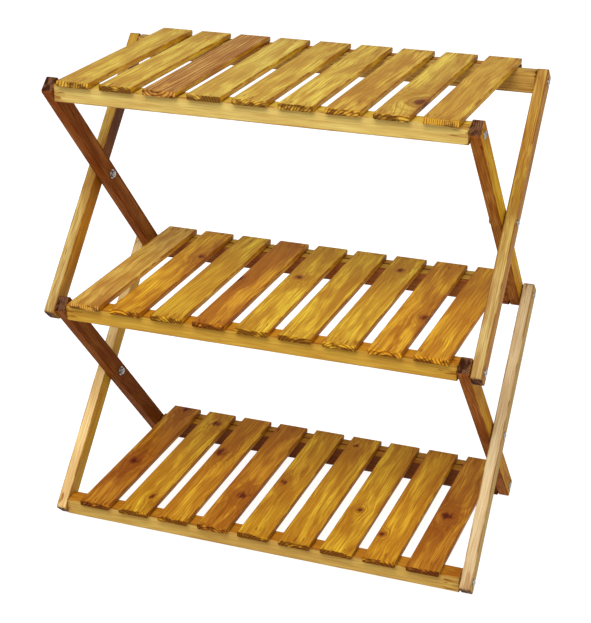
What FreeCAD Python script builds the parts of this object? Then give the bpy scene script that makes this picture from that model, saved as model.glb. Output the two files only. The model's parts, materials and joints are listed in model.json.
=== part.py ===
import FreeCAD, Part
import math
import os

# A three-tier folding plant stand of stained softwood: two pairs of scissor legs at each
# end, stacked one on the other, and three slatted shelves that lift and fold flat with them.
# X runs along the shelves, Y from front to back and Z up. The origin lies on the floor,
# under the middle of the shelves. Millimetres.

# Overall layout
frame_width = 720.0
pivot_depth = 323.0
tier_height = 358.0

# Legs
leg_thickness = 18.0
leg_width = 30.0
leg_end_length = 16.5
leg_corner_radius = 5.0

# Front rails, which carry the slats and turn on the front pivots
rail_height = 27.0
rail_depth = 30.0
rail_end_clearance = 0.3

# Cross bars, which tie the legs at the back pivots and carry the slats' back ends
bar_height = 35.0
bar_depth = 20.0

# Slats
slat_count = 9
slat_gap = 17.0
slat_thickness = 9.5
slat_front_overhang = 11.0
slat_row_margin = 11.5

# Back battens, which hook behind the cross bars
batten_height = 18.0
batten_depth = 18.0
hook_clearance = 2.5

# Eased edges of the sawn wood
edge_radius = 1.5
slat_edge_radius = 1.2

# Screws and pivot bolts share one shank and one pan head
shank_diameter = 6.0
head_diameter = 12.5
head_height = 3.0
head_rim_height = 1.2
recess_length = 6.5
recess_width = 1.4
recess_depth = 1.3
screw_grip = 28.0
running_clearance = 0.05

# Washers keep the crossing legs apart and lie under the nuts
washer_diameter = 16.0
washer_thickness = 1.5

# Low nuts on the inside of the crossing legs
nut_sides = 6
nut_width = 10.0
nut_height = 4.0
bolt_end_length = 1.0

# Nails, two through each end of each slat
nail_diameter = 1.8
nail_grip = 14.0
nail_inset = 12.0
nail_screw_space = 3.0

# Cuts run past the faces that they open by this much
cut_overrun = 1.0

# An edge or a face's normal runs along X when its direction has at least this share of X
along_share = 0.9

# Angles and places that follow from the sizes above
X_AXIS = FreeCAD.Vector(1, 0, 0)
Z_AXIS = FreeCAD.Vector(0, 0, 1)
ORIGIN = FreeCAD.Vector(0, 0, 0)
leg_span = math.hypot(pivot_depth, tier_height)
lean = math.degrees(math.atan2(pivot_depth, tier_height))
shelf_tilt = math.degrees(math.asin((bar_height - rail_height) / 2 / pivot_depth))

outer_leg_out = frame_width / 2
outer_leg_in = outer_leg_out - leg_thickness
inner_leg_out = outer_leg_in - washer_thickness
inner_leg_in = inner_leg_out - leg_thickness

shank_radius = shank_diameter / 2
hole_radius = shank_radius + running_clearance
nail_radius = nail_diameter / 2
nail_hole_radius = nail_radius + running_clearance

# Places in a shelf's own frame, whose X axis is the front pivot axis
deck_z = rail_height / 2
bar_y = pivot_depth * math.cos(math.radians(shelf_tilt))
bar_z = -pivot_depth * math.sin(math.radians(shelf_tilt))
batten_front = bar_y + bar_depth / 2 + hook_clearance
batten_back = batten_front + batten_depth
slat_front = -rail_depth / 2 - slat_front_overhang
slat_row = 2 * (inner_leg_in - slat_row_margin)
slat_width = (slat_row - slat_gap * (slat_count - 1)) / slat_count
slat_pitch = slat_width + slat_gap
slat_middles = [(slat_width - slat_row) / 2 + slat_pitch * number for number in range(slat_count)]
nail_front_y = -(shank_radius + nail_radius + nail_screw_space)
nail_back_y = (batten_front + batten_back) / 2
nail_offset = slat_width / 2 - nail_inset
nail_xs = [middle + side * nail_offset for middle in slat_middles for side in (-1, 1)]

# Pivot lines; the lowest point of a foot, its rounded back corner, sets their height
lean_sin = math.sin(math.radians(lean))
lean_cos = math.cos(math.radians(lean))
corner_along = leg_end_length - leg_corner_radius
corner_across = leg_width / 2 - leg_corner_radius
pivot_z = corner_along * lean_cos + corner_across * lean_sin + leg_corner_radius
tier_names = ("bottom", "middle", "top")
tier_z = [pivot_z + tier * tier_height for tier in range(len(tier_names))]
front_y = -(slat_front + batten_back) / 2
back_y = front_y + pivot_depth
crossing_y = (front_y + back_y) / 2


def eased_box(x_low, x_high, y_low, y_high, z_low, z_high, radius):
    """A sawn piece with all its edges eased."""
    corner = FreeCAD.Vector(x_low, y_low, z_low)
    solid = Part.makeBox(x_high - x_low, y_high - y_low, z_high - z_low, corner)
    return solid.makeFillet(radius, solid.Edges)


def bored(solid, axis, radius, start, length):
    """The solid with a round hole from the start point along the axis."""
    return solid.cut(Part.makeCylinder(radius, length, start, axis))


def leg(x_low, angle, foot_y, foot_z):
    """One leg, drilled for its two end pivots and its crossing pivot, leaning by the angle."""
    half = leg_width / 2
    corner = FreeCAD.Vector(x_low, -half, -leg_end_length)
    solid = Part.makeBox(leg_thickness, leg_width, leg_span + 2 * leg_end_length, corner)
    ends = [edge for edge in solid.Edges if abs(edge.tangentAt(edge.FirstParameter).x) > along_share]
    solid = solid.makeFillet(leg_corner_radius, ends)
    sides = [face for face in solid.Faces if abs(face.normalAt(0, 0).x) > along_share]
    rims = [edge for face in sides for edge in face.Edges]
    solid = solid.makeFillet(edge_radius, rims)
    for height in (0, leg_span / 2, leg_span):
        start = FreeCAD.Vector(x_low - cut_overrun, 0, height)
        solid = bored(solid, X_AXIS, hole_radius, start, leg_thickness + 2 * cut_overrun)
    solid.rotate(ORIGIN, X_AXIS, angle)
    solid.translate(FreeCAD.Vector(0, foot_y, foot_z))
    return solid


def on_tier(solid, tier):
    """Moves a piece from its shelf's own frame, at the front pivot, to the tier's place."""
    solid.rotate(ORIGIN, X_AXIS, shelf_tilt)
    solid.translate(FreeCAD.Vector(0, front_y, tier_z[tier]))
    return solid


def end_bored(solid, half_length):
    """A rail or cross bar with a screw hole along X in each end; its axis is at y = z = 0."""
    depth = screw_grip + running_clearance
    for side in (1, -1):
        start = FreeCAD.Vector(side * (half_length + cut_overrun), 0, 0)
        solid = bored(solid, X_AXIS * -side, hole_radius, start, depth + cut_overrun)
    return solid


def export(name, solids):
    """Writes one node; identical fasteners are a group of separate solids."""
    shape = solids[0] if len(solids) == 1 else Part.makeCompound(solids)
    shape.exportStep("parts/" + name + ".step")
    print(name, len(solids), round(shape.Volume), shape.isValid())


def nail_holed(solid, y, xs):
    """The solid with a row of nail holes, down from the deck's upper face."""
    top = deck_z + slat_thickness + cut_overrun
    depth = slat_thickness + nail_grip + cut_overrun + running_clearance
    for x in xs:
        start = FreeCAD.Vector(x, y, top)
        solid = bored(solid, Z_AXIS * -1, nail_hole_radius, start, depth)
    return solid


def front_rail(half_length):
    """A front rail, centred on the front pivot axis."""
    depth = rail_depth / 2
    solid = eased_box(-half_length, half_length, -depth, depth, -deck_z, deck_z, edge_radius)
    return nail_holed(end_bored(solid, half_length), nail_front_y, nail_xs)


def cross_bar(half_length):
    """A cross bar, centred on the back pivot axis, with its top against the slats."""
    depth = bar_depth / 2
    height = bar_height / 2
    solid = eased_box(-half_length, half_length, -depth, depth, -height, height, edge_radius)
    solid = end_bored(solid, half_length)
    solid.translate(FreeCAD.Vector(0, bar_y, bar_z))
    return solid


def back_batten():
    """The batten under the slats' back ends."""
    half = slat_row / 2
    low = deck_z - batten_height
    solid = eased_box(-half, half, batten_front, batten_back, low, deck_z, slat_edge_radius)
    return nail_holed(solid, nail_back_y, nail_xs)


def slat(middle):
    """One slat, from the front overhang to the batten's back face."""
    half = slat_width / 2
    top = deck_z + slat_thickness
    solid = eased_box(middle - half, middle + half, slat_front, batten_back, deck_z, top, slat_edge_radius)
    xs = [middle - nail_offset, middle + nail_offset]
    return nail_holed(nail_holed(solid, nail_front_y, xs), nail_back_y, xs)


def nail(x, y):
    """One headless nail, flush with the slat."""
    length = slat_thickness + nail_grip
    start = FreeCAD.Vector(x, y, deck_z - nail_grip)
    return Part.makeCylinder(nail_radius, length, start, Z_AXIS)


def headed_pin(length):
    """A pan head with a cross recess on a plain shank; the head's underside is at x = 0."""
    rim = head_diameter / 2
    base = FreeCAD.Vector(0, 0, 0)
    rim_low = FreeCAD.Vector(0, 0, rim)
    rim_high = FreeCAD.Vector(head_rim_height, 0, rim)
    crown = FreeCAD.Vector(head_height, 0, 0)
    rise = head_height - head_rim_height
    dome_radius = (rim * rim + rise * rise) / (2 * rise)
    half_turn = math.asin(rim / dome_radius) / 2
    dome_x = head_height - dome_radius * (1 - math.cos(half_turn))
    dome_middle = FreeCAD.Vector(dome_x, 0, dome_radius * math.sin(half_turn))
    outline = [
        Part.LineSegment(base, rim_low),
        Part.LineSegment(rim_low, rim_high),
        Part.Arc(rim_high, dome_middle, crown),
        Part.LineSegment(crown, base),
    ]
    face = Part.Face(Part.Wire([piece.toShape() for piece in outline]))
    head = face.revolve(ORIGIN, X_AXIS, 360)
    floor_x = head_height - recess_depth
    for wide, tall in ((recess_length, recess_width), (recess_width, recess_length)):
        corner = FreeCAD.Vector(floor_x, -wide / 2, -tall / 2)
        head = head.cut(Part.makeBox(recess_depth + cut_overrun, wide, tall, corner))
    shank = Part.makeCylinder(shank_radius, length, FreeCAD.Vector(-length, 0, 0), X_AXIS)
    return head.fuse(shank).removeSplitter()


def both_sides(piece, face_x, y, z):
    """A fastener pointing inwards at the right-hand face and its turned twin at the left."""
    pair = []
    for turn, side in ((0, 1), (180, -1)):
        copy = piece.copy()
        copy.rotate(ORIGIN, Z_AXIS, turn)
        copy.translate(FreeCAD.Vector(side * face_x, y, z))
        pair.append(copy)
    return pair


def washer():
    """A flat washer, lying inwards from x = 0."""
    start = FreeCAD.Vector(-washer_thickness, 0, 0)
    disc = Part.makeCylinder(washer_diameter / 2, washer_thickness, start, X_AXIS)
    hole_start = start - X_AXIS * cut_overrun
    return bored(disc, X_AXIS, hole_radius, hole_start, washer_thickness + 2 * cut_overrun)


def low_nut():
    """A hexagon nut, lying inwards from x = 0."""
    corner_radius = nut_width / 2 / math.cos(math.pi / nut_sides)
    start = FreeCAD.Vector(-nut_height, 0, 0)
    corners = []
    for step in range(nut_sides + 1):
        turn = math.radians(360 * step / nut_sides)
        corners.append(start + FreeCAD.Vector(0, math.cos(turn), math.sin(turn)) * corner_radius)
    prism = Part.Face(Part.makePolygon(corners)).extrude(X_AXIS * nut_height)
    hole_start = start - X_AXIS * cut_overrun
    return bored(prism, X_AXIS, hole_radius, hole_start, nut_height + 2 * cut_overrun)


os.makedirs("parts", exist_ok=True)

# Legs: the inner ones lean to the front at the top, the outer ones to the back
for lower_tier, pair in ((0, "lower"), (1, "upper")):
    for side_name, side in (("left", -1), ("right", 1)):
        inner_x = min(side * inner_leg_in, side * inner_leg_out)
        outer_x = min(side * outer_leg_in, side * outer_leg_out)
        foot_z = tier_z[lower_tier]
        export(pair + "_inner_leg_" + side_name, [leg(inner_x, lean, back_y, foot_z)])
        export(pair + "_outer_leg_" + side_name, [leg(outer_x, -lean, front_y, foot_z)])

# Shelves and cross bars: the bottom rail and the top bar reach out to the outer legs.
# Each screw passes through the legs outside the rail or cross bar that it holds.
for tier, tier_name in enumerate(tier_names):
    height = tier_z[tier]
    rail_reach = (outer_leg_in if tier_name == "bottom" else inner_leg_in) - rail_end_clearance
    bar_reach = outer_leg_in if tier_name == "top" else inner_leg_in
    export(tier_name + "_front_rail", [on_tier(front_rail(rail_reach), tier)])
    export(tier_name + "_cross_bar", [on_tier(cross_bar(bar_reach), tier)])
    export(tier_name + "_back_batten", [on_tier(back_batten(), tier)])
    for number, middle in enumerate(slat_middles, 1):
        export(tier_name + "_slat_" + str(number), [on_tier(slat(middle), tier)])
    nails = [nail(x, y) for y in (nail_front_y, nail_back_y) for x in nail_xs]
    export(tier_name + "_slat_nails", [on_tier(piece, tier) for piece in nails])
    front_face = inner_leg_out if tier_name == "top" else outer_leg_out
    front_screw = headed_pin(front_face - rail_reach + screw_grip)
    export(tier_name + "_front_screws", both_sides(front_screw, front_face, front_y, height))
    back_face = inner_leg_out if tier_name == "bottom" else outer_leg_out
    back_screw = headed_pin(back_face - bar_reach + screw_grip)
    export(tier_name + "_back_screws", both_sides(back_screw, back_face, back_y, height))

# Pivot bolts at the crossings, their nuts, and the washers beside each moving leg
nut_face = inner_leg_in - washer_thickness
pivot_bolt = headed_pin(outer_leg_out - nut_face + nut_height + bolt_end_length)
for lower_tier, pair, middle_y in ((0, "lower", back_y), (1, "upper", front_y)):
    crossing_z = tier_z[lower_tier] + tier_height / 2
    export(pair + "_pivot_bolts", both_sides(pivot_bolt, outer_leg_out, crossing_y, crossing_z))
    export(pair + "_pivot_nuts", both_sides(low_nut(), nut_face, crossing_y, crossing_z))
    washers = both_sides(washer(), outer_leg_in, crossing_y, crossing_z)
    washers += both_sides(washer(), inner_leg_in, crossing_y, crossing_z)
    washers += both_sides(washer(), outer_leg_in, middle_y, tier_z[1])
    export(pair + "_washers", washers)

print("lean", round(lean, 3), "tilt", round(shelf_tilt, 3), "pivot height", round(pivot_z, 3))
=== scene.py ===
# %% [markdown]
# A folding plant stand of stained softwood: three slatted shelves on two stacked pairs of
# scissor legs. The frame brings every piece at its real size and place, in metres. This lesson
# gives each board its eased edges, its saw's small errors and its own grain, and each fastener
# its turned shape and its plating.

# %% Load the frame
import json
import math
import random
from collections import namedtuple

import bmesh
import bpy
from mathutils import Matrix, Vector, noise


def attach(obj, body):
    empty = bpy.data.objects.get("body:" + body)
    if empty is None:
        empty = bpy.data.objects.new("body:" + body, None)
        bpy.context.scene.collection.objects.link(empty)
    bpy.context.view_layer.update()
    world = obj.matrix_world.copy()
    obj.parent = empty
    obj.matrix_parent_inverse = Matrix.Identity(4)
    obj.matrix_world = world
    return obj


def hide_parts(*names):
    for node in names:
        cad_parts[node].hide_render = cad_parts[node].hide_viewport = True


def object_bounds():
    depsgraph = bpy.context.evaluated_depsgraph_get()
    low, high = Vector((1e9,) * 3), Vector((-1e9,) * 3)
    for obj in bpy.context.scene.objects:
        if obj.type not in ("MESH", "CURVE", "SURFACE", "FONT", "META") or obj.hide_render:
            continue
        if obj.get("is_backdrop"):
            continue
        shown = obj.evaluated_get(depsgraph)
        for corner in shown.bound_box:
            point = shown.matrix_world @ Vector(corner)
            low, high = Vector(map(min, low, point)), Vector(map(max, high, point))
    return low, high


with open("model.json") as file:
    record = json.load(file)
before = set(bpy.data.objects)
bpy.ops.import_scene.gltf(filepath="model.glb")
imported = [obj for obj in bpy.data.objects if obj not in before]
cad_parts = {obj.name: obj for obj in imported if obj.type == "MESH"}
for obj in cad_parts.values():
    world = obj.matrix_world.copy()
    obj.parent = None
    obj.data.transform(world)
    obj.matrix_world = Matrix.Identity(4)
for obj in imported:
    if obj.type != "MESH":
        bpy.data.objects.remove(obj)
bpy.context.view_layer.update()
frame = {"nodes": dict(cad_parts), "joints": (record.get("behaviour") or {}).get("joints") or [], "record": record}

scene = bpy.context.scene
bodies = frame["record"]["behaviour"]["bodies"]
body_with = {node: body for body, nodes in bodies.items() for node in nodes}

# %% [markdown]
# The camera stands in front of the stand and to its right, a little above the top shelf, and
# looks down at it. A Track To constraint could aim it, but a turn about each axis keeps the
# small roll of a hand-held picture.

# %% Camera
camera_place = Vector((0.815, -2.1636, 1.3195))
camera_left, camera_down, camera_roll = 20.597, 22.573, 0.217
lens_length, film_height = 58.99, 24.0

camera_data = bpy.data.cameras.new("photo_camera")
camera_data.sensor_fit = "VERTICAL"
camera_data.sensor_height = film_height
camera_data.lens = lens_length
camera = bpy.data.objects.new("photo_camera", camera_data)
scene.collection.objects.link(camera)
turn_left = Matrix.Rotation(math.radians(camera_left), 4, "Z")
turn_down = Matrix.Rotation(math.radians(90 - camera_down), 4, "X")
roll = Matrix.Rotation(math.radians(camera_roll), 4, "Z")
camera.matrix_world = Matrix.Translation(camera_place) @ turn_left @ turn_down @ roll
scene.camera = camera
print("camera", camera_place, "lens", lens_length)

# %% [markdown]
# Node trees grow long, so a small class writes one step of a recipe per call. A step takes
# numbers or the outputs of earlier steps, and gives back its own output. The same tree could be
# drawn by hand in the shader editor; written down, it can be read in order.

# %% A short hand for node trees
class Recipe:
    """Writes the steps of one material."""

    def __init__(self, name):
        self.paint = bpy.data.materials.new(name)
        self.paint.use_nodes = True
        self.tree = self.paint.node_tree
        self.shader = self.tree.nodes["Principled BSDF"]

    def node(self, kind, **settings):
        made = self.tree.nodes.new("ShaderNode" + kind)
        for key, value in settings.items():
            setattr(made, key, value)
        return made

    def feed(self, socket, value):
        if isinstance(value, bpy.types.NodeSocket):
            self.tree.links.new(value, socket)
        else:
            socket.default_value = value

    def finish(self, socket, value):
        """Feeds one of the shader's own sockets."""
        self.feed(self.shader.inputs[socket], value)

    def filled(self, made, values):
        """The node's first output, with its inputs fed in order."""
        for socket, value in zip(made.inputs, values):
            self.feed(socket, value)
        return made.outputs[0]

    def math(self, operation, *values):
        return self.filled(self.node("Math", operation=operation), values)

    def plus(self, first, second):
        return self.math("ADD", first, second)

    def minus(self, first, second):
        return self.math("SUBTRACT", first, second)

    def times(self, first, second):
        return self.math("MULTIPLY", first, second)

    def over(self, first, second):
        return self.math("DIVIDE", first, second)

    def length(self, first, second):
        """The long side of a right triangle."""
        return self.math("SQRT", self.plus(self.times(first, first), self.times(second, second)))

    def vector(self, operation, *values):
        return self.filled(self.node("VectorMath", operation=operation), values)

    def joined(self, *values):
        """A vector of these numbers, and of nothing after them."""
        return self.filled(self.node("CombineXYZ"), values)

    def fade(self, value, start, end, low=0.0, high=1.0):
        """Goes smoothly from low to high as the value goes from start to end."""
        made = self.node("MapRange", interpolation_type="SMOOTHSTEP")
        return self.filled(made, (value, start, end, low, high))

    def mottle(self, place, spots, detail):
        """Noise between 0 and 1, with this many spots per metre each way."""
        made = self.node("TexNoise")
        self.feed(made.inputs["Vector"], self.vector("MULTIPLY", place, spots))
        made.inputs["Scale"].default_value = 1.0
        made.inputs["Detail"].default_value = detail
        return made.outputs["Fac"]

    def blend(self, share, first, second, way="MIX"):
        """This share of the second colour over the first; colours use sockets 6 and 7."""
        made = self.node("Mix", data_type="RGBA", blend_type=way)
        for socket, value in ((0, share), (6, first), (7, second)):
            self.feed(made.inputs[socket], value)
        return made.outputs[2]


print("recipe ready")

# %% [markdown]
# The floor is one wide plane that glows a little, as a light table does. A plain white floor
# would go grey between the slats, where the shelves keep the light off it. It is the stage and
# not a piece of the stand.

# %% Floor
floor_size = 40.0
white = (1, 1, 1, 1)
floor_look = {
    "Base Color": (0.30, 0.30, 0.30, 1), "Roughness": 0.9, "Specular IOR Level": 0.1,
    "Emission Color": white, "Emission Strength": 0.92,
}

shape = bmesh.new()
bmesh.ops.create_grid(shape, x_segments=1, y_segments=1, size=floor_size / 2)
floor_mesh = bpy.data.meshes.new("floor")
shape.to_mesh(floor_mesh)
shape.free()
floor = bpy.data.objects.new("floor", floor_mesh)
scene.collection.objects.link(floor)
floor_finish = Recipe("floor_white")
for socket, value in floor_look.items():
    floor_finish.finish(socket, value)
floor_mesh.materials.append(floor_finish.paint)
floor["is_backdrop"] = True
print("floor", floor_size, "m wide")

# %% [markdown]
# Soft studio light: a pale sky all round and one broad lamp high above the front. The sky alone
# would look flat, and a small lamp would throw hard shadows. Standard colour keeps the stain as
# warm as it is set.

# %% Light
sky_strength = 0.62
lamp_place = Vector((0.3, -2.5, 3.0))
lamp_target = Vector((0, 0, 0.4))
lamp_width = 2.2
lamp_power = 138

scene.view_settings.view_transform = "Standard"
world = bpy.data.worlds.new("studio")
world.use_nodes = True
sky = world.node_tree.nodes["Background"]
sky.inputs["Color"].default_value = white
sky.inputs["Strength"].default_value = sky_strength
scene.world = world
lamp_data = bpy.data.lights.new("window_lamp", "AREA")
lamp_data.shape = "DISK"
lamp_data.size = lamp_width
lamp_data.energy = lamp_power
lamp = bpy.data.objects.new("window_lamp", lamp_data)
scene.collection.objects.link(lamp)
lamp_turn = (lamp_target - lamp_place).to_track_quat("-Z", "Y").to_matrix().to_4x4()
lamp.matrix_world = Matrix.Translation(lamp_place) @ lamp_turn
print("sky", sky_strength, "lamp", lamp_power, "W")

# %% [markdown]
# The boards lean and tilt, so each one is shaped in a frame of its own, turned about X. The
# joints and mounts in the record say by how much: the legs run from a front pivot to a back
# pivot, and the decks' normals give the tilt of the shelves.

# %% Turned frames
pivots = {joint["name"]: Vector(joint["pos_m"]) for joint in frame["joints"]}
deck = frame["record"]["mounts"][0]["axis"]
leg_run = pivots["upper_inner_fold"] - pivots["bottom_shelf_lift"]
lean = math.atan2(leg_run.y, leg_run.z)
shelf_tilt = math.atan2(-deck[1], deck[2])
turns = {
    "shelf": Matrix.Rotation(shelf_tilt, 4, "X"),
    "inner_leg": Matrix.Rotation(lean, 4, "X"),
    "outer_leg": Matrix.Rotation(-lean, 4, "X"),
}


def corners_of(places):
    """The lowest and highest corners of a list of places."""
    low = Vector([min(place[axis] for place in places) for axis in range(3)])
    high = Vector([max(place[axis] for place in places) for axis in range(3)])
    return low, high


def own_corners(node, turn):
    """The corners of a CAD node in its own turned frame."""
    back = turn.inverted()
    return corners_of([back @ vertex.co for vertex in frame["nodes"][node].data.vertices])


print("lean", math.degrees(lean), "tilt", math.degrees(shelf_tilt))

# %% [markdown]
# A board is a slice of a log, and its figure is what the saw met there. An image could show one
# face of one board. Here every board's mesh carries its own grain coordinates, log, knots and
# stain as attributes, so one recipe makes all of them, no two are alike, and the lines on a face
# meet those on the edges and the ends. The stain is a thin colour: where more of it sank in, the
# wood is darker and redder.

# %% Wood that carries its own figure
seed_aside = 0.37
green_fades, blue_fades = 1.7, 2.4
ragged_spots = (170.0, 60.0, 170.0)
ringed_share = 0.75


class Wood(Recipe):
    """A recipe that reads what a board's mesh carries, and stains by it."""

    def __init__(self, name):
        super().__init__(name)
        self.across, self.along, self.through = self.carried("grain")
        self.half_across, self.half_along, self.half_through = self.carried("board")
        self.ring_width, self.contrast, seed = self.carried("rings")
        self.ends_dark, self.lively, ringed = self.carried("takeup")
        self.stain = self.attribute("stain", "Color")
        shift = self.joined(self.times(seed, seed_aside), seed)
        self.place = self.vector("ADD", self.attribute("grain", "Vector"), shift)
        self.from_end = self.inside(self.half_along, self.along)
        self.ragged = self.off_middle(ragged_spots, 3.0)
        self.ringed = self.times(ringed, ringed_share)
        self.loose = self.minus(1.0, self.ringed)

    def attribute(self, name, output):
        return self.node("Attribute", attribute_name=name).outputs[output]

    def carried(self, name):
        """The three numbers that the board's mesh carries under this name."""
        made = self.node("SeparateXYZ")
        self.feed(made.inputs[0], self.attribute(name, "Vector"))
        return tuple(made.outputs)

    def inside(self, half, place):
        """How far a place lies in from the nearer of two opposite faces."""
        return self.minus(half, self.math("ABSOLUTE", place))

    def off_middle(self, spots, detail):
        """Noise that goes either way from 0."""
        return self.minus(self.mottle(self.place, spots, detail), 0.5)

    def tinted(self, tint):
        return self.blend(1.0, self.stain, (*tint, 1), "MULTIPLY")

    def shade(self, depth):
        """The stain where the wood took more or less of it: green and blue go before red."""
        return self.tinted((depth, depth ** green_fades, depth ** blue_fades))

    def stained(self, colour, share, depth):
        """The colour, with this share of it turned to a shade of the stain."""
        return self.blend(share, colour, self.shade(depth))


print("wood ready")

# %% [markdown]
# A knot is the foot of a branch. The trunk grew round it, so the rings bulge and the fibres run
# aside there, and both lie straight again a few radii away. A bell-shaped bump of the knot's own
# size gives both. It is a little longer along the grain than across it, and the stain that it
# drew in runs out like a flame.

# %% Knots
knot_names = ("knot_1", "knot_2")
knot_stretch, flame_stretch = 0.72, 0.42
bump_fall = -0.22
ring_bulge = 2.2
grain_push = 0.85
Knot = namedtuple("Knot", "bend push away flame")


def knot_fields(wood, name):
    """How far a knot bends rings and pushes grain, and the distances from its core and flame."""
    knot_across, knot_along, knot_radius = wood.carried(name)
    aside = wood.minus(wood.across, knot_across)
    ahead = wood.times(wood.minus(wood.along, knot_along), knot_stretch)
    away = wood.over(wood.length(aside, ahead), knot_radius)
    bump = wood.math("EXPONENT", wood.times(wood.times(away, away), bump_fall))
    bend = wood.times(wood.times(bump, knot_radius), ring_bulge)
    push = wood.times(wood.times(bump, aside), grain_push)
    flame = wood.over(wood.length(aside, wood.times(ahead, flame_stretch)), knot_radius)
    return Knot(bend, push, away, flame)


print("knots ready")

# %% [markdown]
# A tree adds a ring a year, pale in spring and dark in late summer, and some years are darker
# than others. The distance from the pith, counted in ring widths, gives the year and the season,
# and two noises make the rings wavy. They cut the faces as streaks and arches and the ends as
# arcs. A Wave texture makes rings too, but it could not bend them round a knot.

# %% Growth rings
ring_waves = (((14.0, 3.2, 14.0), 0.014), ((70.0, 8.0, 70.0), 0.0022))
late_starts, late_full, late_stops = 0.40, 0.88, 0.94
palest_year = 0.45


def growth_rings(wood):
    """The dark late wood of each ring, from 0 to 1."""
    pith_across, pith_depth, pith_lean = wood.carried("log")
    pith_here = wood.plus(pith_across, wood.times(pith_lean, wood.along))
    aside, deep = wood.minus(wood.across, pith_here), wood.minus(wood.through, pith_depth)
    radius = wood.length(aside, deep)
    for spots, size in ring_waves:
        radius = wood.plus(radius, wood.times(wood.off_middle(spots, 2.0), size))
    for knot in wood.knots:
        radius = wood.plus(radius, knot.bend)
    years = wood.over(radius, wood.ring_width)
    season = wood.math("FRACT", years)
    darkening = wood.fade(season, late_starts, late_full)
    late = wood.times(darkening, wood.fade(season, 1.0, late_stops))
    year = wood.node("TexWhiteNoise", noise_dimensions="1D")
    wood.feed(year.inputs["W"], wood.math("FLOOR", years))
    return wood.times(late, wood.fade(year.outputs["Value"], 0.0, 1.0, palest_year, 1.0))


print("growth rings ready")

# %% [markdown]
# Fibres run along the board, wander a little and flow round the knots. So the noise that makes
# streaks is stretched along the grain, and the places that it is read at are moved aside: by a
# slow noise, more on lively boards, and by the push of each knot.

# %% Fibres
wander_spots, wander_width = (12.0, 6.0, 12.0), 0.024


def flowing_places(wood):
    """The board's places, moved aside as its fibres are."""
    wander = wood.off_middle(wander_spots, 2.0)
    wander = wood.times(wood.times(wander, wood.lively), wander_width)
    for knot in wood.knots:
        wander = wood.minus(wander, knot.push)
    return wood.vector("ADD", wood.place, wood.joined(wander))


def fibrous(wood, across, along, detail):
    """Noise with this many spots per metre across the fibres and along them."""
    return wood.mottle(wood.flow, (across, along, across), detail)


print("fibres ready")

# %% [markdown]
# The stain went on thin and uneven. Broad clouds and smaller patches of it run from gold to
# brown, heartwood takes it darker than the pale sapwood, and round a knot it is nearly burnt.
# One noise would give spots of one size, so a slow one picks a shade of gold and a shade of
# brown, and a quicker one mixes the two.

# %% Clouds, heartwood and burnt knots
gold_shades, brown_shades = (1.32, 1.10), (0.90, 0.60)
drift_spots, drift_width = (14.0, 5.0, 14.0), 0.06
heart_blur, heart_depth = 0.004, 0.66
burn_outer, burn_inner, burn_depth = 3.8, 0.4, 0.46
ragged_tongues, patchy_tongues = 3.0, 8.0


def clouded(wood):
    cloud = wood.fade(fibrous(wood, across=16.0, along=4.0, detail=2.0), 0.36, 0.64)
    patch = wood.fade(wood.uneven, 0.40, 0.62)
    gold = wood.blend(cloud, *map(wood.shade, gold_shades))
    brown = wood.blend(cloud, *map(wood.shade, brown_shades))
    return wood.blend(wood.lively, wood.stain, wood.blend(patch, gold, brown))


def hearted(wood, colour):
    """Heartwood on one side of an edge that leans and drifts along the board."""
    heart_edge, heart_lean, heart_share = wood.carried("heart")
    edge_here = wood.plus(heart_edge, wood.times(heart_lean, wood.along))
    drift = wood.times(wood.off_middle(drift_spots, 2.0), drift_width)
    past_edge = wood.plus(wood.minus(wood.across, edge_here), drift)
    heart = wood.fade(past_edge, heart_blur, -heart_blur)
    return wood.stained(colour, wood.times(heart, heart_share), heart_depth)


def burnt(wood, colour):
    """The dark tongues that run out from loose knots along the grain."""
    patchy = wood.times(wood.minus(0.5, wood.uneven), patchy_tongues)
    tongues = wood.plus(wood.times(wood.ragged, ragged_tongues), patchy)
    for knot in wood.knots:
        burn = wood.fade(wood.plus(knot.flame, tongues), burn_outer, burn_inner)
        share = wood.times(burn, wood.times(wood.lively, wood.loose))
        colour = wood.stained(colour, share, burn_depth)
    return colour


print("gold shades", gold_shades, "brown shades", brown_shades)

# %% [markdown]
# Closer up, the grain is made of lines: bands a few centimetres wide, streaks, bright gleams,
# dark threads and the fibres themselves. They are the same step at different widths, from the
# broad to the fine. The late rings lie over them, then short dark flecks, which crowd near the
# ends where the wood has small cracks.

# %% Fine grain
calm_threads = 0.35
ring_depth = 0.46
crack_reach, crack_crowd = 0.06, 0.14
fleck_share, fleck_depth = 0.85, 0.40


def fine_grained(wood, colour):
    bands, streaks = wood.times(wood.lively, 0.60), wood.times(wood.lively, 0.52)
    threads = wood.times(wood.fade(wood.lively, 0.0, 1.0, calm_threads, 1.0), 0.74)
    for across, along, detail, start, end, share, depth in (
            (34.0, 1.6, 1.0, 0.52, 0.62, bands, 0.68),
            (120.0, 3.5, 3.0, 0.53, 0.66, streaks, 0.60),
            (480.0, 12.0, 2.0, 0.53, 0.65, 0.36, 1.22),
            (560.0, 13.0, 2.0, 0.50, 0.60, threads, 0.60)):
        lines = wood.fade(fibrous(wood, across, along, detail), start, end)
        colour = wood.stained(colour, wood.times(lines, share), depth)
    colour = wood.stained(colour, wood.fade(wood.fibre, 0.35, 0.75, 0.0, 0.45), 0.72)
    colour = wood.stained(colour, wood.times(wood.late, wood.contrast), ring_depth)
    return wood.stained(colour, wood.times(wood.fleck, fleck_share), fleck_depth)


def dark_flecks(wood):
    """Short dark flecks, from 0 to 1."""
    near_end = wood.fade(wood.from_end, crack_reach, 0.0, 0.0, crack_crowd)
    specks = fibrous(wood, across=260.0, along=34.0, detail=1.0)
    return wood.fade(wood.plus(specks, near_end), 0.74, 0.82)


print("flecks crowd within", crack_reach, "m of the ends")

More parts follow.
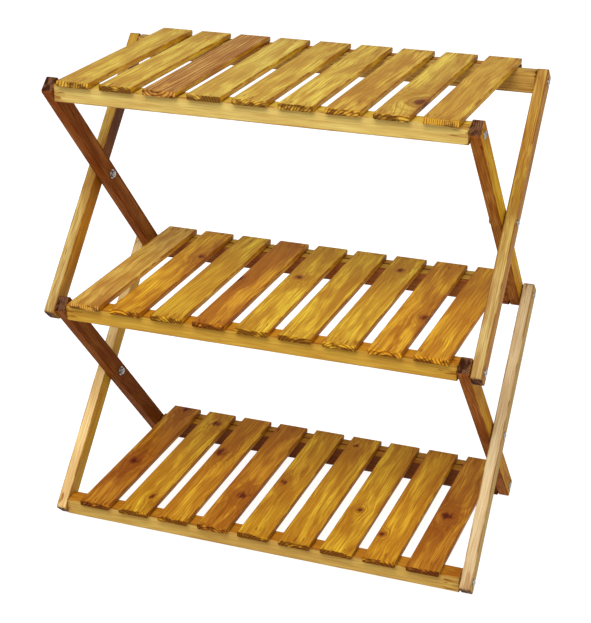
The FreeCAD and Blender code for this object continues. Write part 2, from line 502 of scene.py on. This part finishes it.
# %% [markdown]
# A sound knot shows rings of its own round a dark core with a darker pip, and a loose one only a
# ragged core. A sine of the distance from the core gives the rings, and the board says how much
# of them shows.

# %% Cores of the knots
core_ragged = 2.6
knot_ring_rate, knot_ring_depth = 6.5, 0.50
rings_outer, rings_inner = 2.7, 1.7
core_edge, core_full = 1.35, 0.55
pip_edge, pip_full = 0.9, 0.2
core_depth, pip_depth = 0.40, 0.18


def cored(wood, colour):
    for knot in wood.knots:
        away = wood.plus(knot.away, wood.times(wood.times(wood.ragged, wood.loose), core_ragged))
        waves = wood.fade(wood.math("SINE", wood.times(away, knot_ring_rate)), -0.1, 0.9)
        rings = wood.times(waves, wood.fade(away, rings_outer, rings_inner))
        colour = wood.stained(colour, wood.times(rings, wood.ringed), knot_ring_depth)
        pip = wood.fade(away, pip_edge, pip_full)
        core = wood.blend(pip, wood.shade(core_depth), wood.shade(pip_depth))
        colour = wood.blend(wood.fade(away, core_edge, core_full), colour, core)
    return colour


print("knot cores ready")

# %% [markdown]
# Wet stain pools along the edges and soaks into the open end grain, in teeth that follow the
# fibres. The ends drink most of it: spring wood stays lighter there and late wood goes nearly
# black, in blotches. Each end is also made darker towards its lower face. The board carries its
# own size, so the recipe knows how far each place is from an edge or an end.

# %% Edges and ends
pool_edge = 0.0003
pool_spots, pool_least, pool_depth = (45.0, 25.0, 45.0), 0.15, 0.46
tooth_length = 0.030
soak_blur, soak_share, soak_depth = 0.006, 0.62, 0.54
blotch_spots, blotch_size = (75.0, 40.0, 150.0), 4.2
paler_upward = -0.35
light_ends = ((0.88, 0.78, 0.72), (0.22, 0.13, 0.09))
dark_ends = ((0.34, 0.22, 0.16), (0.11, 0.06, 0.045))
end_starts, end_full, end_ragged = 0.0024, 0.0006, 0.004


def pooled(wood, colour, pool_width):
    edge = wood.times(
        wood.fade(wood.inside(wood.half_across, wood.across), pool_width, pool_edge),
        wood.fade(wood.inside(wood.half_through, wood.through), pool_width, pool_edge))
    broken = wood.fade(wood.mottle(wood.place, pool_spots, 2.0), 0.40, 0.56, pool_least, 1.0)
    return wood.stained(colour, wood.times(edge, broken), pool_depth)


def soaked(wood, colour):
    lines = wood.fade(fibrous(wood, across=190.0, along=5.0, detail=2.0), 0.50, 0.68)
    past_teeth = wood.minus(wood.from_end, wood.times(lines, tooth_length))
    soak = wood.fade(past_teeth, soak_blur, -soak_blur, 0.0, soak_share)
    return wood.stained(colour, soak, soak_depth)


def end_grained(wood, colour):
    """The cut ends, with the rings as light and dark arcs."""
    blotch = wood.plus(wood.ends_dark, wood.times(wood.off_middle(blotch_spots, 3.0), blotch_size))
    height = wood.over(wood.times(wood.through, paler_upward), wood.half_through)
    tone = wood.fade(wood.plus(blotch, height), 0.0, 1.0)
    light = wood.blend(tone, *map(wood.tinted, light_ends))
    dark = wood.blend(tone, *map(wood.tinted, dark_ends))
    arcs = wood.blend(wood.fade(wood.late, 0.05, 0.5), light, dark)
    return wood.blend(wood.end, colour, arcs)


def cut_end(wood):
    """Where the end grain shows, from 0 to 1."""
    rough_end = wood.plus(wood.from_end, wood.times(wood.ragged, end_ragged))
    return wood.fade(rough_end, end_starts, end_full)


print("end grain from", end_starts, "m")

# %% [markdown]
# The finish puts the layers on in the order in which they lie in the wood. It is a thin oil
# stain, so it shines little: the fibres and the open ends are rougher, and fibres, rings and
# flecks stand in a low relief. Each kind of board has its own roughness, gloss and width of the
# stain that pools at its edges.

# %% Stained wood
fibre_roughness, end_roughness = 0.22, 0.2
fibre_height, ring_height, fleck_height = 0.9, 0.5, 0.8
relief_strength, relief_depth = 0.45, 0.0006


def relief(wood):
    height = wood.plus(wood.times(wood.fibre, fibre_height), wood.times(wood.late, ring_height))
    bump = wood.node("Bump")
    bump.inputs["Strength"].default_value = relief_strength
    bump.inputs["Distance"].default_value = relief_depth
    wood.feed(bump.inputs["Height"], wood.minus(height, wood.times(wood.fleck, fleck_height)))
    return bump.outputs["Normal"]


def stained_wood(name, roughness, gloss, pool_width):
    """One stained finish."""
    wood = Wood(name)
    wood.knots = [knot_fields(wood, knot) for knot in knot_names]
    wood.late = growth_rings(wood)
    wood.flow = flowing_places(wood)
    wood.uneven = fibrous(wood, across=55.0, along=11.0, detail=3.0)
    wood.fibre = fibrous(wood, across=800.0, along=26.0, detail=3.0)
    wood.fleck = dark_flecks(wood)
    wood.end = cut_end(wood)
    colour = burnt(wood, hearted(wood, clouded(wood)))
    colour = cored(wood, fine_grained(wood, colour))
    colour = end_grained(wood, soaked(wood, pooled(wood, colour, pool_width)))
    wood.finish("Base Color", colour)
    rough = wood.plus(wood.times(wood.fibre, fibre_roughness), roughness)
    rough = wood.plus(rough, wood.times(wood.end, end_roughness))
    wood.finish("Roughness", rough)
    wood.finish("Normal", relief(wood))
    wood.finish("Specular IOR Level", gloss)
    print(name, len(wood.tree.nodes), "nodes")
    return wood.paint


wood_kinds = {
    "slat_wood": (0.36, 0.05, 0.0035), "rail_wood": (0.38, 0.05, 0.0030),
    "inner_leg_wood": (0.38, 0.006, 0.0025), "outer_leg_wood": (0.40, 0.04, 0.0030),
}
finishes = {name: stained_wood(name, *look) for name, look in wood_kinds.items()}

# %% [markdown]
# The stain's colours, from the palest to the darkest board of the stand. They are the colour
# of sound wood between the late rings; the recipe above lightens and darkens them from there.

# %% Stain colours
# The darkest stains also serve as painted shade on the battens, the lower bars and the inner legs, and the palest
# as painted light on the outer legs' fronts.
stains = {
    "cream": (0.65, 0.46, 0.195),
    "raw": (0.535, 0.400, 0.212),
    "pine": (0.44, 0.312, 0.084),
    "wheat": (0.405, 0.250, 0.054),
    "fawn": (0.41, 0.284, 0.096),
    "straw": (0.57, 0.40, 0.062),
    "honey": (0.53, 0.345, 0.043),
    "tan": (0.50, 0.295, 0.033),
    "sand": (0.53, 0.30, 0.050),
    "ochre": (0.395, 0.225, 0.027),
    "russet": (0.44, 0.225, 0.044),
    "bark": (0.335, 0.172, 0.026),
    "gold": (0.60, 0.365, 0.023),
    "amber": (0.58, 0.32, 0.017),
    "ginger": (0.57, 0.285, 0.014),
    "copper": (0.50, 0.22, 0.012),
    "rust": (0.44, 0.18, 0.012),
    "nutmeg": (0.40, 0.18, 0.014),
    "mahogany": (0.28, 0.105, 0.018),
    "chestnut": (0.225, 0.072, 0.014),
    "umber": (0.185, 0.058, 0.009),
    "walnut": (0.11, 0.031, 0.006),
    "char": (0.16, 0.082, 0.044),
}
print(len(stains), "stains")

# %% [markdown]
# Every board starts as a cube that is scaled to the node's own box and cut into short sections,
# so that its sides can stray a little. Then the edges are eased with a bevel. Bevels made here
# and not by a modifier leave real faces, which can carry the board's grain coordinates.

# %% One board
section_length = 0.012
same_place = 1e-6
along_share = 0.9
sharp_angle = math.radians(50)
corner_segments, round_segments, ease_segments = 5, 4, 3


def edges_along(shape, axis):
    found = []
    for edge in shape.edges:
        run = edge.verts[1].co - edge.verts[0].co
        if abs(run.normalized()[axis]) > along_share:
            found.append(edge)
    return found


def ease(shape, edges, radius, segments):
    bmesh.ops.bevel(shape, geom=edges, offset=radius, segments=segments, profile=0.5,
                    affect="EDGES", material=-1, clamp_overlap=True)


def cut_across(shape, parts, axis, place):
    """Cuts these parts of a shape square to an axis, at a place on it."""
    way = Matrix.Identity(3)[axis]
    bmesh.ops.bisect_plane(shape, geom=parts, dist=same_place, plane_co=way * place, plane_no=way)


def cut_in_sections(shape, length, along):
    cuts = int(length / section_length)
    for cut in range(1, cuts):
        everything = [*shape.verts, *shape.edges, *shape.faces]
        cut_across(shape, everything, along, length * (cut / cuts - 0.5))


print("boards in sections of", section_length, "m")

# %% [markdown]
# The saw strays slowly and the planer chatters, so each free side gets a slow and a quick noise
# of its own, read from a row that no other side uses. Both only take wood away: a board is never
# larger than it was drawn.

# %% The saw's small errors
slow_bends, quick_bends, quick_share = 11, 60, 0.35
outer_part = 0.4


def saw_errors(shape, size, along, seed, free_sides):
    """Moves the free sides in; each is given by its axis, its way and an amount."""
    for vertex in shape.verts:
        for axis, way, amount in free_sides:
            if vertex.co[axis] * way > outer_part * size[axis]:
                slow_row, quick_row = seed + 7 * axis + 3 * way, seed + 5 * axis + 2 * way
                slow = noise.noise(Vector((slow_row, slow_bends * vertex.co[along], 0.5)))
                quick = noise.noise(Vector((quick_row, quick_bends * vertex.co[along], 3.5)))
                vertex.co[axis] -= amount * (1 + slow + quick_share * quick) * way


def sawn_shape(size, along, seed, easing, corner=0.0, under=0.0, end_round=0.0, free_sides=()):
    """A board's bmesh round its own middle: cut to size, a little untrue, and eased."""
    shape = bmesh.new()
    bmesh.ops.create_cube(shape, size=1.0)
    bmesh.ops.scale(shape, vec=size, verts=shape.verts)
    if corner:
        thin = min(range(3), key=lambda axis: size[axis])
        ease(shape, edges_along(shape, thin), corner, corner_segments)
    if under:
        lower = [edge for edge in edges_along(shape, along) if edge.verts[0].co.z < 0]
        ease(shape, lower, under, round_segments)
    if end_round:
        upper = [edge for edge in edges_along(shape, 0) if edge.verts[0].co.z > 0]
        ease(shape, upper, end_round, round_segments)
    cut_in_sections(shape, size[along], along)
    saw_errors(shape, size, along, seed, free_sides)
    sharp = [edge for edge in shape.edges if edge.calc_face_angle(0) > sharp_angle]
    ease(shape, sharp, easing, ease_segments)
    return shape


print("saw strays", slow_bends, "and", quick_bends, "times per metre")

# %% [markdown]
# The stain is laid on the corners of the faces, mixed by the way each face looks, so that the
# eased edges run from one face's colour into the next. Where a face changes along the board,
# several stains follow one another upwards. An image could be painted for this, but corner
# colours need no unwrapping.

# %% Stain on the corners
def stain_at(tone, up):
    """The colour this far up the board; the tone's stain names follow one another upwards."""
    steps = [Vector(stains[name]) for name in tone.split()]
    last = len(steps) - 1
    step = min(max(int(up * last), 0), last)
    return steps[step].lerp(steps[min(step + 1, last)], up * last - step)


def stain_corners(shape, along, length, face_stains):
    """Stains a board; for each axis, face_stains gives the tone of its low and its high face."""
    stain = shape.loops.layers.float_color.new("stain")
    for face in shape.faces:
        for loop in face.loops:
            up = loop.vert.co[along] / length + 0.5
            mixed = Vector((0, 0, 0))
            for axis in range(3):
                tone = face_stains[axis][0 if face.normal[axis] < 0 else 1]
                mixed += face.normal[axis] ** 2 * stain_at(tone, up)
            loop[stain] = (*mixed, 1.0)


print("stain follows the faces")

# %% [markdown]
# A finished board carries all that the recipe reads. Its log is given by how it was sawn from
# it: how far aside the pith lies, how deep, and how much it leans along the board. A quarter-sawn
# board shows straight lines, a flat-sawn one arches, and one sawn below the pith shows hanging
# arcs at its ends. Weighted normals keep the broad faces flat.

# %% Finish a board
draws = random.Random(27)
seed_span, ring_span = (1.0, 60.0), (0.8, 1.25)
no_knot = (9.0, 9.0, 0.004)
no_heart = (0.0, 0.0, 0.0)
cuts_of_log = {
    "quarter": ((0.075, 0.12), (-0.02, 0.02), (-0.03, 0.03)),
    "rift": ((0.03, 0.05), (-0.05, -0.03), (-0.05, 0.05)),
    "flat": ((-0.012, 0.012), (-0.04, -0.016), (0.03, 0.07)),
    "inner": ((0.002, 0.006), (0.012, 0.016), (-0.008, 0.008)),
}


def stamp(mesh, name, value):
    """Gives the whole mesh one carried vector."""
    layer = mesh.attributes.new(name, "FLOAT_VECTOR", "POINT")
    layer.data.foreach_set("vector", list(value) * len(mesh.vertices))


def show(mesh, node):
    """Makes the finished mesh a piece of its own, in place of its CAD node."""
    piece = bpy.data.objects.new(mesh.name, mesh)
    scene.collection.objects.link(piece)
    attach(piece, body_with[node])
    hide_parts(node)
    return piece


def board(node, kind, finish, face_stains, log, contrast, lively, ends_dark, ring_width=0.0045,
          knots=(), heart=no_heart, ringed=0.0, easing=0.0015, **sawing):
    """One wooden piece in place of its CAD node."""
    turn = turns[kind]
    low, high = own_corners(node, turn)
    size = high - low
    along, wide, thin = sorted(range(3), key=lambda axis: -size[axis])
    seed = draws.uniform(*seed_span)
    shape = sawn_shape(size, along, seed, easing, **sawing)
    grain = shape.verts.layers.float_vector.new("grain")
    for vertex in shape.verts:
        vertex[grain] = (vertex.co[wide], vertex.co[along], vertex.co[thin])
    stain_corners(shape, along, size[along], face_stains)
    for face in shape.faces:
        face.smooth = True
    to_place = turn @ Matrix.Translation((low + high) / 2)
    bmesh.ops.transform(shape, matrix=to_place, verts=shape.verts)
    mesh = bpy.data.meshes.new(node + "_board")
    shape.to_mesh(mesh)
    shape.free()
    side = draws.choice((-1, 1))
    aside, deep, leaning = [draws.uniform(*span) for span in cuts_of_log[log]]
    stamp(mesh, "board", (size[wide] / 2, size[along] / 2, size[thin] / 2))
    stamp(mesh, "log", (aside * side, deep, leaning * side))
    stamp(mesh, "rings", (ring_width * draws.uniform(*ring_span), contrast, seed))
    stamp(mesh, "takeup", (ends_dark, lively, ringed))
    stamp(mesh, "heart", heart)
    for name, knot in zip(knot_names, (*knots, no_knot, no_knot)):
        stamp(mesh, name, knot)
    mesh.materials.append(finishes[finish])
    piece = show(mesh, node)
    piece.modifiers.new("flat_faces", "WEIGHTED_NORMAL").keep_sharp = True


print("log cuts", list(cuts_of_log))

# %% [markdown]
# The nine slats of a shelf come from different boards. Each entry gives a slat's stain, its cut,
# its figure and how dark its end is. A figure is the contrast of the rings, the liveliness of the
# stain and the width of a ring. Knots are given from the slat's middle line and its front end,
# with their radius, and heartwood by where it ends across the slat, how that edge leans, and how
# dark it is.

# %% The slats' boards
slat_boards = {
    "top": (
        "honey quarter calm tawny", "honey flat calm dark", "russet inner lined striped",
        "straw flat lively dark", "honey rift calm brown", "honey rift calm brown",
        "tan rift lively tawny", "honey flat lively brown", "tan quarter calm pale"),
    "middle": (
        "sand quarter lively striped", "ginger flat lively brown", "gold flat lively brown",
        "copper flat wild dark", "gold rift lively brown", "gold flat lively dark",
        "gold flat lively tawny", "ginger flat wild striped", "ginger rift wild tawny"),
    "bottom": (
        "rust flat wild dark", "amber flat wild dark", "ginger rift wild dark",
        "copper flat wild brown", "amber flat wild dark", "amber flat wild dark",
        "amber rift lively dark", "ginger flat lively dark", "rust flat wild dark"),
}
figures = {
    "calm": (0.34, 0.80, 0.0038), "lively": (0.36, 0.92, 0.0045),
    "wild": (0.42, 1.0, 0.0045), "lined": (1.3, 0.8, 0.0062),
}
end_tones = {"pale": 0.1, "striped": 0.3, "tawny": 0.5, "brown": 0.7, "dark": 1.1}
slat_knots = {
    "top_slat_8": [(0.022, 0.077, 0.0165)],
    "middle_slat_2": [(0.018, 0.256, 0.0080)],
    "middle_slat_4": [(-0.0235, 0.187, 0.0090)],
    "middle_slat_5": [(-0.007, 0.229, 0.0070)],
    "middle_slat_7": [(-0.002, 0.317, 0.0075)],
    "middle_slat_8": [(0.022, 0.141, 0.0085)],
    "bottom_slat_1": [(-0.004, 0.158, 0.0095), (0.0, 0.368, 0.0080)],
    "bottom_slat_2": [(0.005, 0.337, 0.0080), (0.010, 0.053, 0.0055)],
    "bottom_slat_3": [(-0.0155, 0.239, 0.0120)],
    "bottom_slat_4": [(0.009, 0.113, 0.0100)],
    "bottom_slat_5": [(-0.0135, 0.178, 0.0080)],
    "bottom_slat_6": [(-0.009, 0.345, 0.0050)],
    "bottom_slat_7": [(-0.0045, 0.136, 0.0062)],
    "bottom_slat_8": [(-0.0185, 0.077, 0.0058)],
    "bottom_slat_9": [(-0.006, 0.168, 0.0105)],
}
ringed_knots = {
    "top_slat_8": 1.0, "middle_slat_5": 0.7, "middle_slat_7": 0.5,
    "bottom_slat_7": 1.0, "bottom_slat_8": 0.9,
}
slat_hearts = {"middle_slat_4": (0.004, 0.02, 0.9), "bottom_slat_3": (-0.010, 0.0, 0.7)}
print(sum(map(len, slat_knots.values())), "knots in", len(slat_knots), "slats")

# %% [markdown]
# The slats' sides took the stain redder than their tops. Their lower edges are rounded off, and
# their ends above, where hands wear them. Only the free sides stray: a slat's underside lies on
# the rail and the bar, and stays true.

# %% Slats
slat_sides = {"top": "amber", "middle": "copper", "bottom": "nutmeg"}
slat_saw = ((0, -1, 0.00025), (0, 1, 0.00025), (2, 1, 0.00012), (1, -1, 0.0003))

for tier, boards in slat_boards.items():
    for number, words in enumerate(boards, 1):
        node = f"{tier}_slat_{number}"
        tone, cut, figure, end_tone = words.split()
        low, high = own_corners(node, turns["shelf"])
        half = (high.y - low.y) / 2
        placed = [(x, y - half, radius) for x, y, radius in slat_knots.get(node, [])]
        sides = (slat_sides[tier],) * 2
        contrast, lively, ring_width = figures[figure]
        board(node, "shelf", "slat_wood", (sides, (tone, tone), (tone, tone)), log=cut,
              contrast=contrast, lively=lively, ends_dark=end_tones[end_tone],
              ring_width=ring_width, knots=placed, heart=slat_hearts.get(node, no_heart),
              ringed=ringed_knots.get(node, 0.0),
              easing=0.0013, under=0.0028, end_round=0.0022, free_sides=slat_saw)
    print(tier, len(boards), "slats")

# %% [markdown]
# Under each shelf runs a front rail, a batten at the back, and a cross bar of the legs. Rails
# are straight-grained and paler than the slats, and their tops are stained darker than their
# fronts. The battens' fronts and the lower shelves' bars are painted dark as painted shade under
# the shelves, and the tops of bars and battens are painted pale as painted light in the gaps.

# %% Rails, battens and bars
# Each pair holds the tone of the rest of the board, then of its top. The dark fronts of the battens and lower bars
# are painted shade, and the paler tops of the lower bars and the battens are painted light.
under_tones_and_painted_light = {
    "top": (("pine", "honey"), ("mahogany", "nutmeg"), ("wheat", "wheat")),
    "middle": (("ochre", "copper"), ("mahogany", "tan"), ("chestnut", "tan")),
    "bottom": (("wheat", "rust"), ("mahogany", "nutmeg"), ("walnut", "nutmeg")),
}
rail_saw = ((1, -1, 0.0002), (2, -1, 0.0002))


def other_top(tone, upper_tone):
    """The tones of a board that differs only on its top, which on bars and battens is painted light."""
    return (tone, tone), (tone, tone), (tone, upper_tone)


for tier, (rail, batten, bar) in under_tones_and_painted_light.items():
    board(tier + "_front_rail", "shelf", "rail_wood", other_top(*rail), log="rift",
          contrast=0.12, lively=0.22, ends_dark=0.8, free_sides=rail_saw)
    board(tier + "_back_batten", "shelf", "rail_wood", other_top(*batten), log="rift",
          contrast=0.4, lively=0.6, ends_dark=0.7, easing=0.0012)
    board(tier + "_cross_bar", "shelf", "rail_wood", other_top(*bar), log="quarter",
          contrast=0.4, lively=0.5, ends_dark=0.7)
print(3 * len(under_tones_and_painted_light), "rails, battens and bars")

# %% [markdown]
# The legs are square-cut at the ends with rounded corners. The outer legs' front faces are
# painted pale, mostly as painted light where they face up to the lamp and partly as a paler
# stain. The inner ones are a darker stain, painted darker still as painted shade, most of all at
# the left. Their end grain drank so much that it is nearly black. Each line gives the tones of a
# leg's sides, its front and its back.

# %% Legs
# The outer legs' pale fronts are painted light. The inner legs are a darker stain and also painted shade.
leg_tones_and_painted_light = {
    "lower_outer_leg_left": ("tan", "cream", "ginger"),
    "lower_outer_leg_right": ("wheat", "raw", "tan"),
    "upper_outer_leg_left": ("tan copper walnut walnut", "fawn ochre", "ginger"),
    "upper_outer_leg_right": ("nutmeg", "fawn fawn fawn pine ochre bark bark wheat", "tan"),
    "lower_inner_leg_left": ("umber", "umber", "umber"),
    "lower_inner_leg_right": ("nutmeg", "chestnut", "copper"),
    "upper_inner_leg_left": ("mahogany chestnut", "chestnut", "umber"),
    "upper_inner_leg_right": ("amber", "mahogany", "ginger"),
}
leg_ends = ("char", "char")
leg_figures = {
    "lower_outer": (0.22, 0.25), "upper_outer": (0.34, 0.75),
    "lower_inner": (0.60, 0.70), "upper_inner": (0.60, 0.85),
}
leg_saw = ((1, -1, 0.0002), (1, 1, 0.0002))

for node, (side, front, back) in leg_tones_and_painted_light.items():
    level, place, _, _ = node.split("_")
    kind = place + "_leg"
    contrast, lively = leg_figures[level + "_" + place]
    board(node, kind, kind + "_wood", ((side, side), (front, back), leg_ends), log="flat",
          contrast=contrast, lively=lively, ends_dark=0.5, ring_width=0.003,
          corner=0.005, free_sides=leg_saw)
print(len(leg_tones_and_painted_light), "legs")

# %% [markdown]
# Identical fasteners share a CAD node. The boxes of its separate solids give every screw, bolt,
# nut and washer its place and its length: from one point, the edges are followed until the whole
# solid is known. Each fastener is made at the origin along X and then turned to face outwards.

# %% Places of the fasteners
weld_distance = 1e-5


def separate_boxes(node):
    """The corners of each separate solid of a CAD node."""
    copy = bmesh.new()
    copy.from_mesh(frame["nodes"][node].data)
    bmesh.ops.remove_doubles(copy, verts=copy.verts, dist=weld_distance)
    boxes, seen = [], set()
    for start in copy.verts:
        if start in seen:
            continue
        seen.add(start)
        solid = [start]
        for vertex in solid:
            for edge in vertex.link_edges:
                other = edge.other_vert(vertex)
                if other not in seen:
                    seen.add(other)
                    solid.append(other)
        boxes.append(corners_of([vertex.co for vertex in solid]))
    copy.free()
    return boxes


def facing_out(low, high):
    """Where a fastener's outer end is, and the turn that points it there."""
    right = low.x + high.x > 0
    outer = high.x if right else low.x
    place = Vector((outer, (low.y + high.y) / 2, (low.z + high.z) / 2))
    return Matrix.Translation(place) @ Matrix.Rotation(0 if right else math.pi, 4, "Z")


pin_nodes = [node for node in frame["nodes"] if node.endswith(("_screws", "_bolts"))]
ring_nodes = [node for node in frame["nodes"] if node.endswith(("_washers", "_nuts"))]
print("pins", pin_nodes, "rings", ring_nodes)

# %% [markdown]
# Screws and bolts are turned on a lathe, and so they are here: half an outline is spun round
# the X axis. A cylinder and a cone could be joined instead, but an outline holds the dome, the
# rim and the thread's ridges in one go.

# %% Turned shapes
round_steps = 48


def turned(outline):
    """The outline's points, each a place along X and a radius, spun round the X axis."""
    shape = bmesh.new()
    points = [shape.verts.new((x, 0, radius)) for x, radius in outline]
    edges = [shape.edges.new(pair) for pair in zip(points, points[1:])]
    bmesh.ops.spin(shape, geom=points + edges, cent=(0, 0, 0), axis=(1, 0, 0),
                   angle=2 * math.pi, steps=round_steps, use_merge=True)
    bmesh.ops.remove_doubles(shape, verts=shape.verts, dist=same_place)
    bmesh.ops.recalc_face_normals(shape, faces=shape.faces)
    return shape


print("turned in", round_steps, "steps")

# %% [markdown]
# The screws and the pivot bolts have a pan head with a cross recess. Eight cuts draw the lines
# of the cross on the dome, and the faces between them are pressed in and drawn together a
# little, as a punch leaves them. A Boolean would do it too, but leaves long thin faces.

# %% Heads and recesses
head_height, head_rim, shank_radius = 0.003, 0.0012, 0.003
recess_length, recess_width, recess_depth, recess_taper = 0.0065, 0.0014, 0.0013, 0.8
thread_pitch, thread_depth, thread_turns = 0.001, 0.00035, 8
dome_steps = 7


def cut_dome(shape, axis, reach):
    """Cuts the dome of a head along one line of the cross."""
    dome = [face for face in shape.faces if face.calc_center_median().x > head_rim]
    parts = {part for face in dome for part in (*face.verts, *face.edges)}
    cut = sorted(parts, key=lambda part: (isinstance(part, bmesh.types.BMEdge), part.index))
    cut_across(shape, cut + dome, axis, reach / 2)
    shape.verts.index_update()
    shape.edges.index_update()


def press_cross(shape):
    """Cuts the recess's lines into the dome and presses the cross in."""
    for axis in (1, 2):
        for reach in (-recess_length, -recess_width, recess_width, recess_length):
            cut_dome(shape, axis, reach)
    cross = []
    for face in shape.faces:
        middle = face.calc_center_median()
        short, long = sorted((abs(middle.y), abs(middle.z)))
        if middle.x > head_rim and short < recess_width / 2 and long < recess_length / 2:
            cross.append(face)
    pressed = bmesh.ops.extrude_face_region(shape, geom=cross)["geom"]
    sunk = [part for part in pressed if isinstance(part, bmesh.types.BMVert)]
    bmesh.ops.delete(shape, geom=cross, context="FACES_ONLY")
    bmesh.ops.translate(shape, vec=(-recess_depth, 0, 0), verts=sunk)
    bmesh.ops.scale(shape, vec=(1, recess_taper, recess_taper), verts=sunk)


def headed_pin(rim, length, threaded):
    """A pan-headed pin; the head's underside is at x = 0 and the shank runs to minus x."""
    rise = head_height - head_rim
    dome_radius = (rim * rim + rise * rise) / (2 * rise)
    half_angle = math.asin(rim / dome_radius)
    outline = []
    for step in range(dome_steps + 1):
        angle = half_angle * step / dome_steps
        fall = dome_radius * (1 - math.cos(angle))
        outline.append((head_height - fall, dome_radius * math.sin(angle)))
    outline += [(0, rim), (0, shank_radius)]
    root_radius = shank_radius - thread_depth
    if threaded:
        start = -length + thread_turns * thread_pitch
        for turn in range(thread_turns):
            ridge = start - turn * thread_pitch
            outline += [(ridge, shank_radius), (ridge - thread_pitch / 2, root_radius)]
    outline += [(-length, root_radius), (-length, 0)]
    shape = turned(outline)
    press_cross(shape)
    return shape


print("recess", recess_length, "m long")

# %% [markdown]
# The fasteners are steel with a thin coat of zinc, which has clouded in the weather: grey
# patches of two brightnesses, the brighter ones a little rougher. Edges past the given angle stay
# hard. Each pin is turned by chance about its own axis, because nobody lines up the crosses of
# screws.

# %% Screws and bolts
zinc_spots = 420.0
zinc_dark, zinc_bright = (0.17, 0.17, 0.18, 1), (0.42, 0.41, 0.39, 1)
zinc_smooth, zinc_rough = 0.22, 0.42
hard_angle = math.radians(35)


def clouded_metal(name, spots, detail, dark, bright):
    """A recipe for metal in clouds of two colours, and its clouding."""
    metal = Recipe(name)
    place = metal.node("TexCoord").outputs["Object"]
    clouding = metal.mottle(place, (spots, spots, spots), detail)
    metal.finish("Base Color", metal.blend(clouding, dark, bright))
    return metal, clouding


def show_zinc(node, shapes):
    """Makes a node's fasteners one plated piece."""
    mesh = bpy.data.meshes.new(node + "_turned")
    joined = bmesh.new()
    for shape in shapes:
        shape.to_mesh(mesh)
        shape.free()
        joined.from_mesh(mesh)
    for face in joined.faces:
        face.smooth = True
    joined.to_mesh(mesh)
    joined.free()
    mesh.set_sharp_from_angle(angle=hard_angle)
    mesh.materials.append(zinc.paint)
    show(mesh, node)
    print(node, len(shapes), "solids,", len(mesh.polygons), "faces")


zinc, clouding = clouded_metal("zinc_steel", zinc_spots, 3.0, zinc_dark, zinc_bright)
zinc.finish("Roughness", zinc.fade(clouding, 0.2, 0.8, zinc_smooth, zinc_rough))
zinc.finish("Metallic", 1.0)

for node in pin_nodes:
    pins = []
    for low, high in separate_boxes(node):
        length = high.x - low.x - head_height
        pin = headed_pin((high.z - low.z) / 2, length, node.endswith("bolts"))
        spin = Matrix.Rotation(draws.uniform(0, math.pi / 2), 4, "X")
        settle = Matrix.Translation((-head_height, 0, 0))
        bmesh.ops.transform(pin, matrix=facing_out(low, high) @ settle @ spin, verts=pin.verts)
        pins.append(pin)
    show_zinc(node, pins)

# %% [markdown]
# A washer is a turned ring with broken edges. A nut is turned too, and then every point outside
# its hexagon is drawn in to it, which leaves the curved chamfer that a real nut has at its
# corners. A six-sided cone would be simpler, but would miss that curve and the round bore.

# %% Washers and nuts
washer_break = 0.0003
nut_sides = 6
nut_chamfer = 0.0007


def ring(inner, outer, thickness, broken):
    """A turned ring between x = 0 and minus its thickness, with its outer edges broken."""
    outline = [(0, inner), (0, outer - broken), (-broken, outer), (broken - thickness, outer),
               (-thickness, outer - broken), (-thickness, inner), (0, inner)]
    return turned(outline)


def hexagon(shape, flat):
    """Draws the points outside a hexagon in to it; flat is from its middle to a side."""
    side_angle = 2 * math.pi / nut_sides
    for vertex in shape.verts:
        radius = math.hypot(vertex.co.y, vertex.co.z)
        turn = math.atan2(vertex.co.z, vertex.co.y) % side_angle - side_angle / 2
        wanted = min(radius, flat / math.cos(turn))
        vertex.co.y *= wanted / radius
        vertex.co.z *= wanted / radius


for node in ring_nodes:
    is_nut = node.endswith("nuts")
    rings = []
    for low, high in separate_boxes(node):
        tall, thickness = max(high - low), high.x - low.x
        shape = ring(shank_radius, tall / 2, thickness, nut_chamfer if is_nut else washer_break)
        if is_nut:
            hexagon(shape, tall / 2 * math.cos(math.pi / nut_sides))
        bmesh.ops.transform(shape, matrix=facing_out(low, high), verts=shape.verts)
        rings.append(shape)
    show_zinc(node, rings)

# %% [markdown]
# The nails that hold the slats have no heads and are flush with the wood. The CAD shapes are
# right as they are, and only get their finish: steel that the stain went over.

# %% Nails
nail_spots = 900.0
nail_dark, nail_bright = (0.22, 0.11, 0.03, 1), (0.34, 0.19, 0.05, 1)
nail_roughness = 0.7

dull, _ = clouded_metal("nail_steel", nail_spots, 2.0, nail_dark, nail_bright)
dull.finish("Roughness", nail_roughness)
nails = [node for node in frame["nodes"] if node.endswith("nails")]
for node in nails:
    nail_mesh = frame["nodes"][node].data
    nail_mesh.materials.clear()
    nail_mesh.materials.append(dull.paint)
print("dulled", nails)

# %% [markdown]
# The box of the finished model, without the floor.

# %% Sizes
low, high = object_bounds()
print("visual box", low, high)
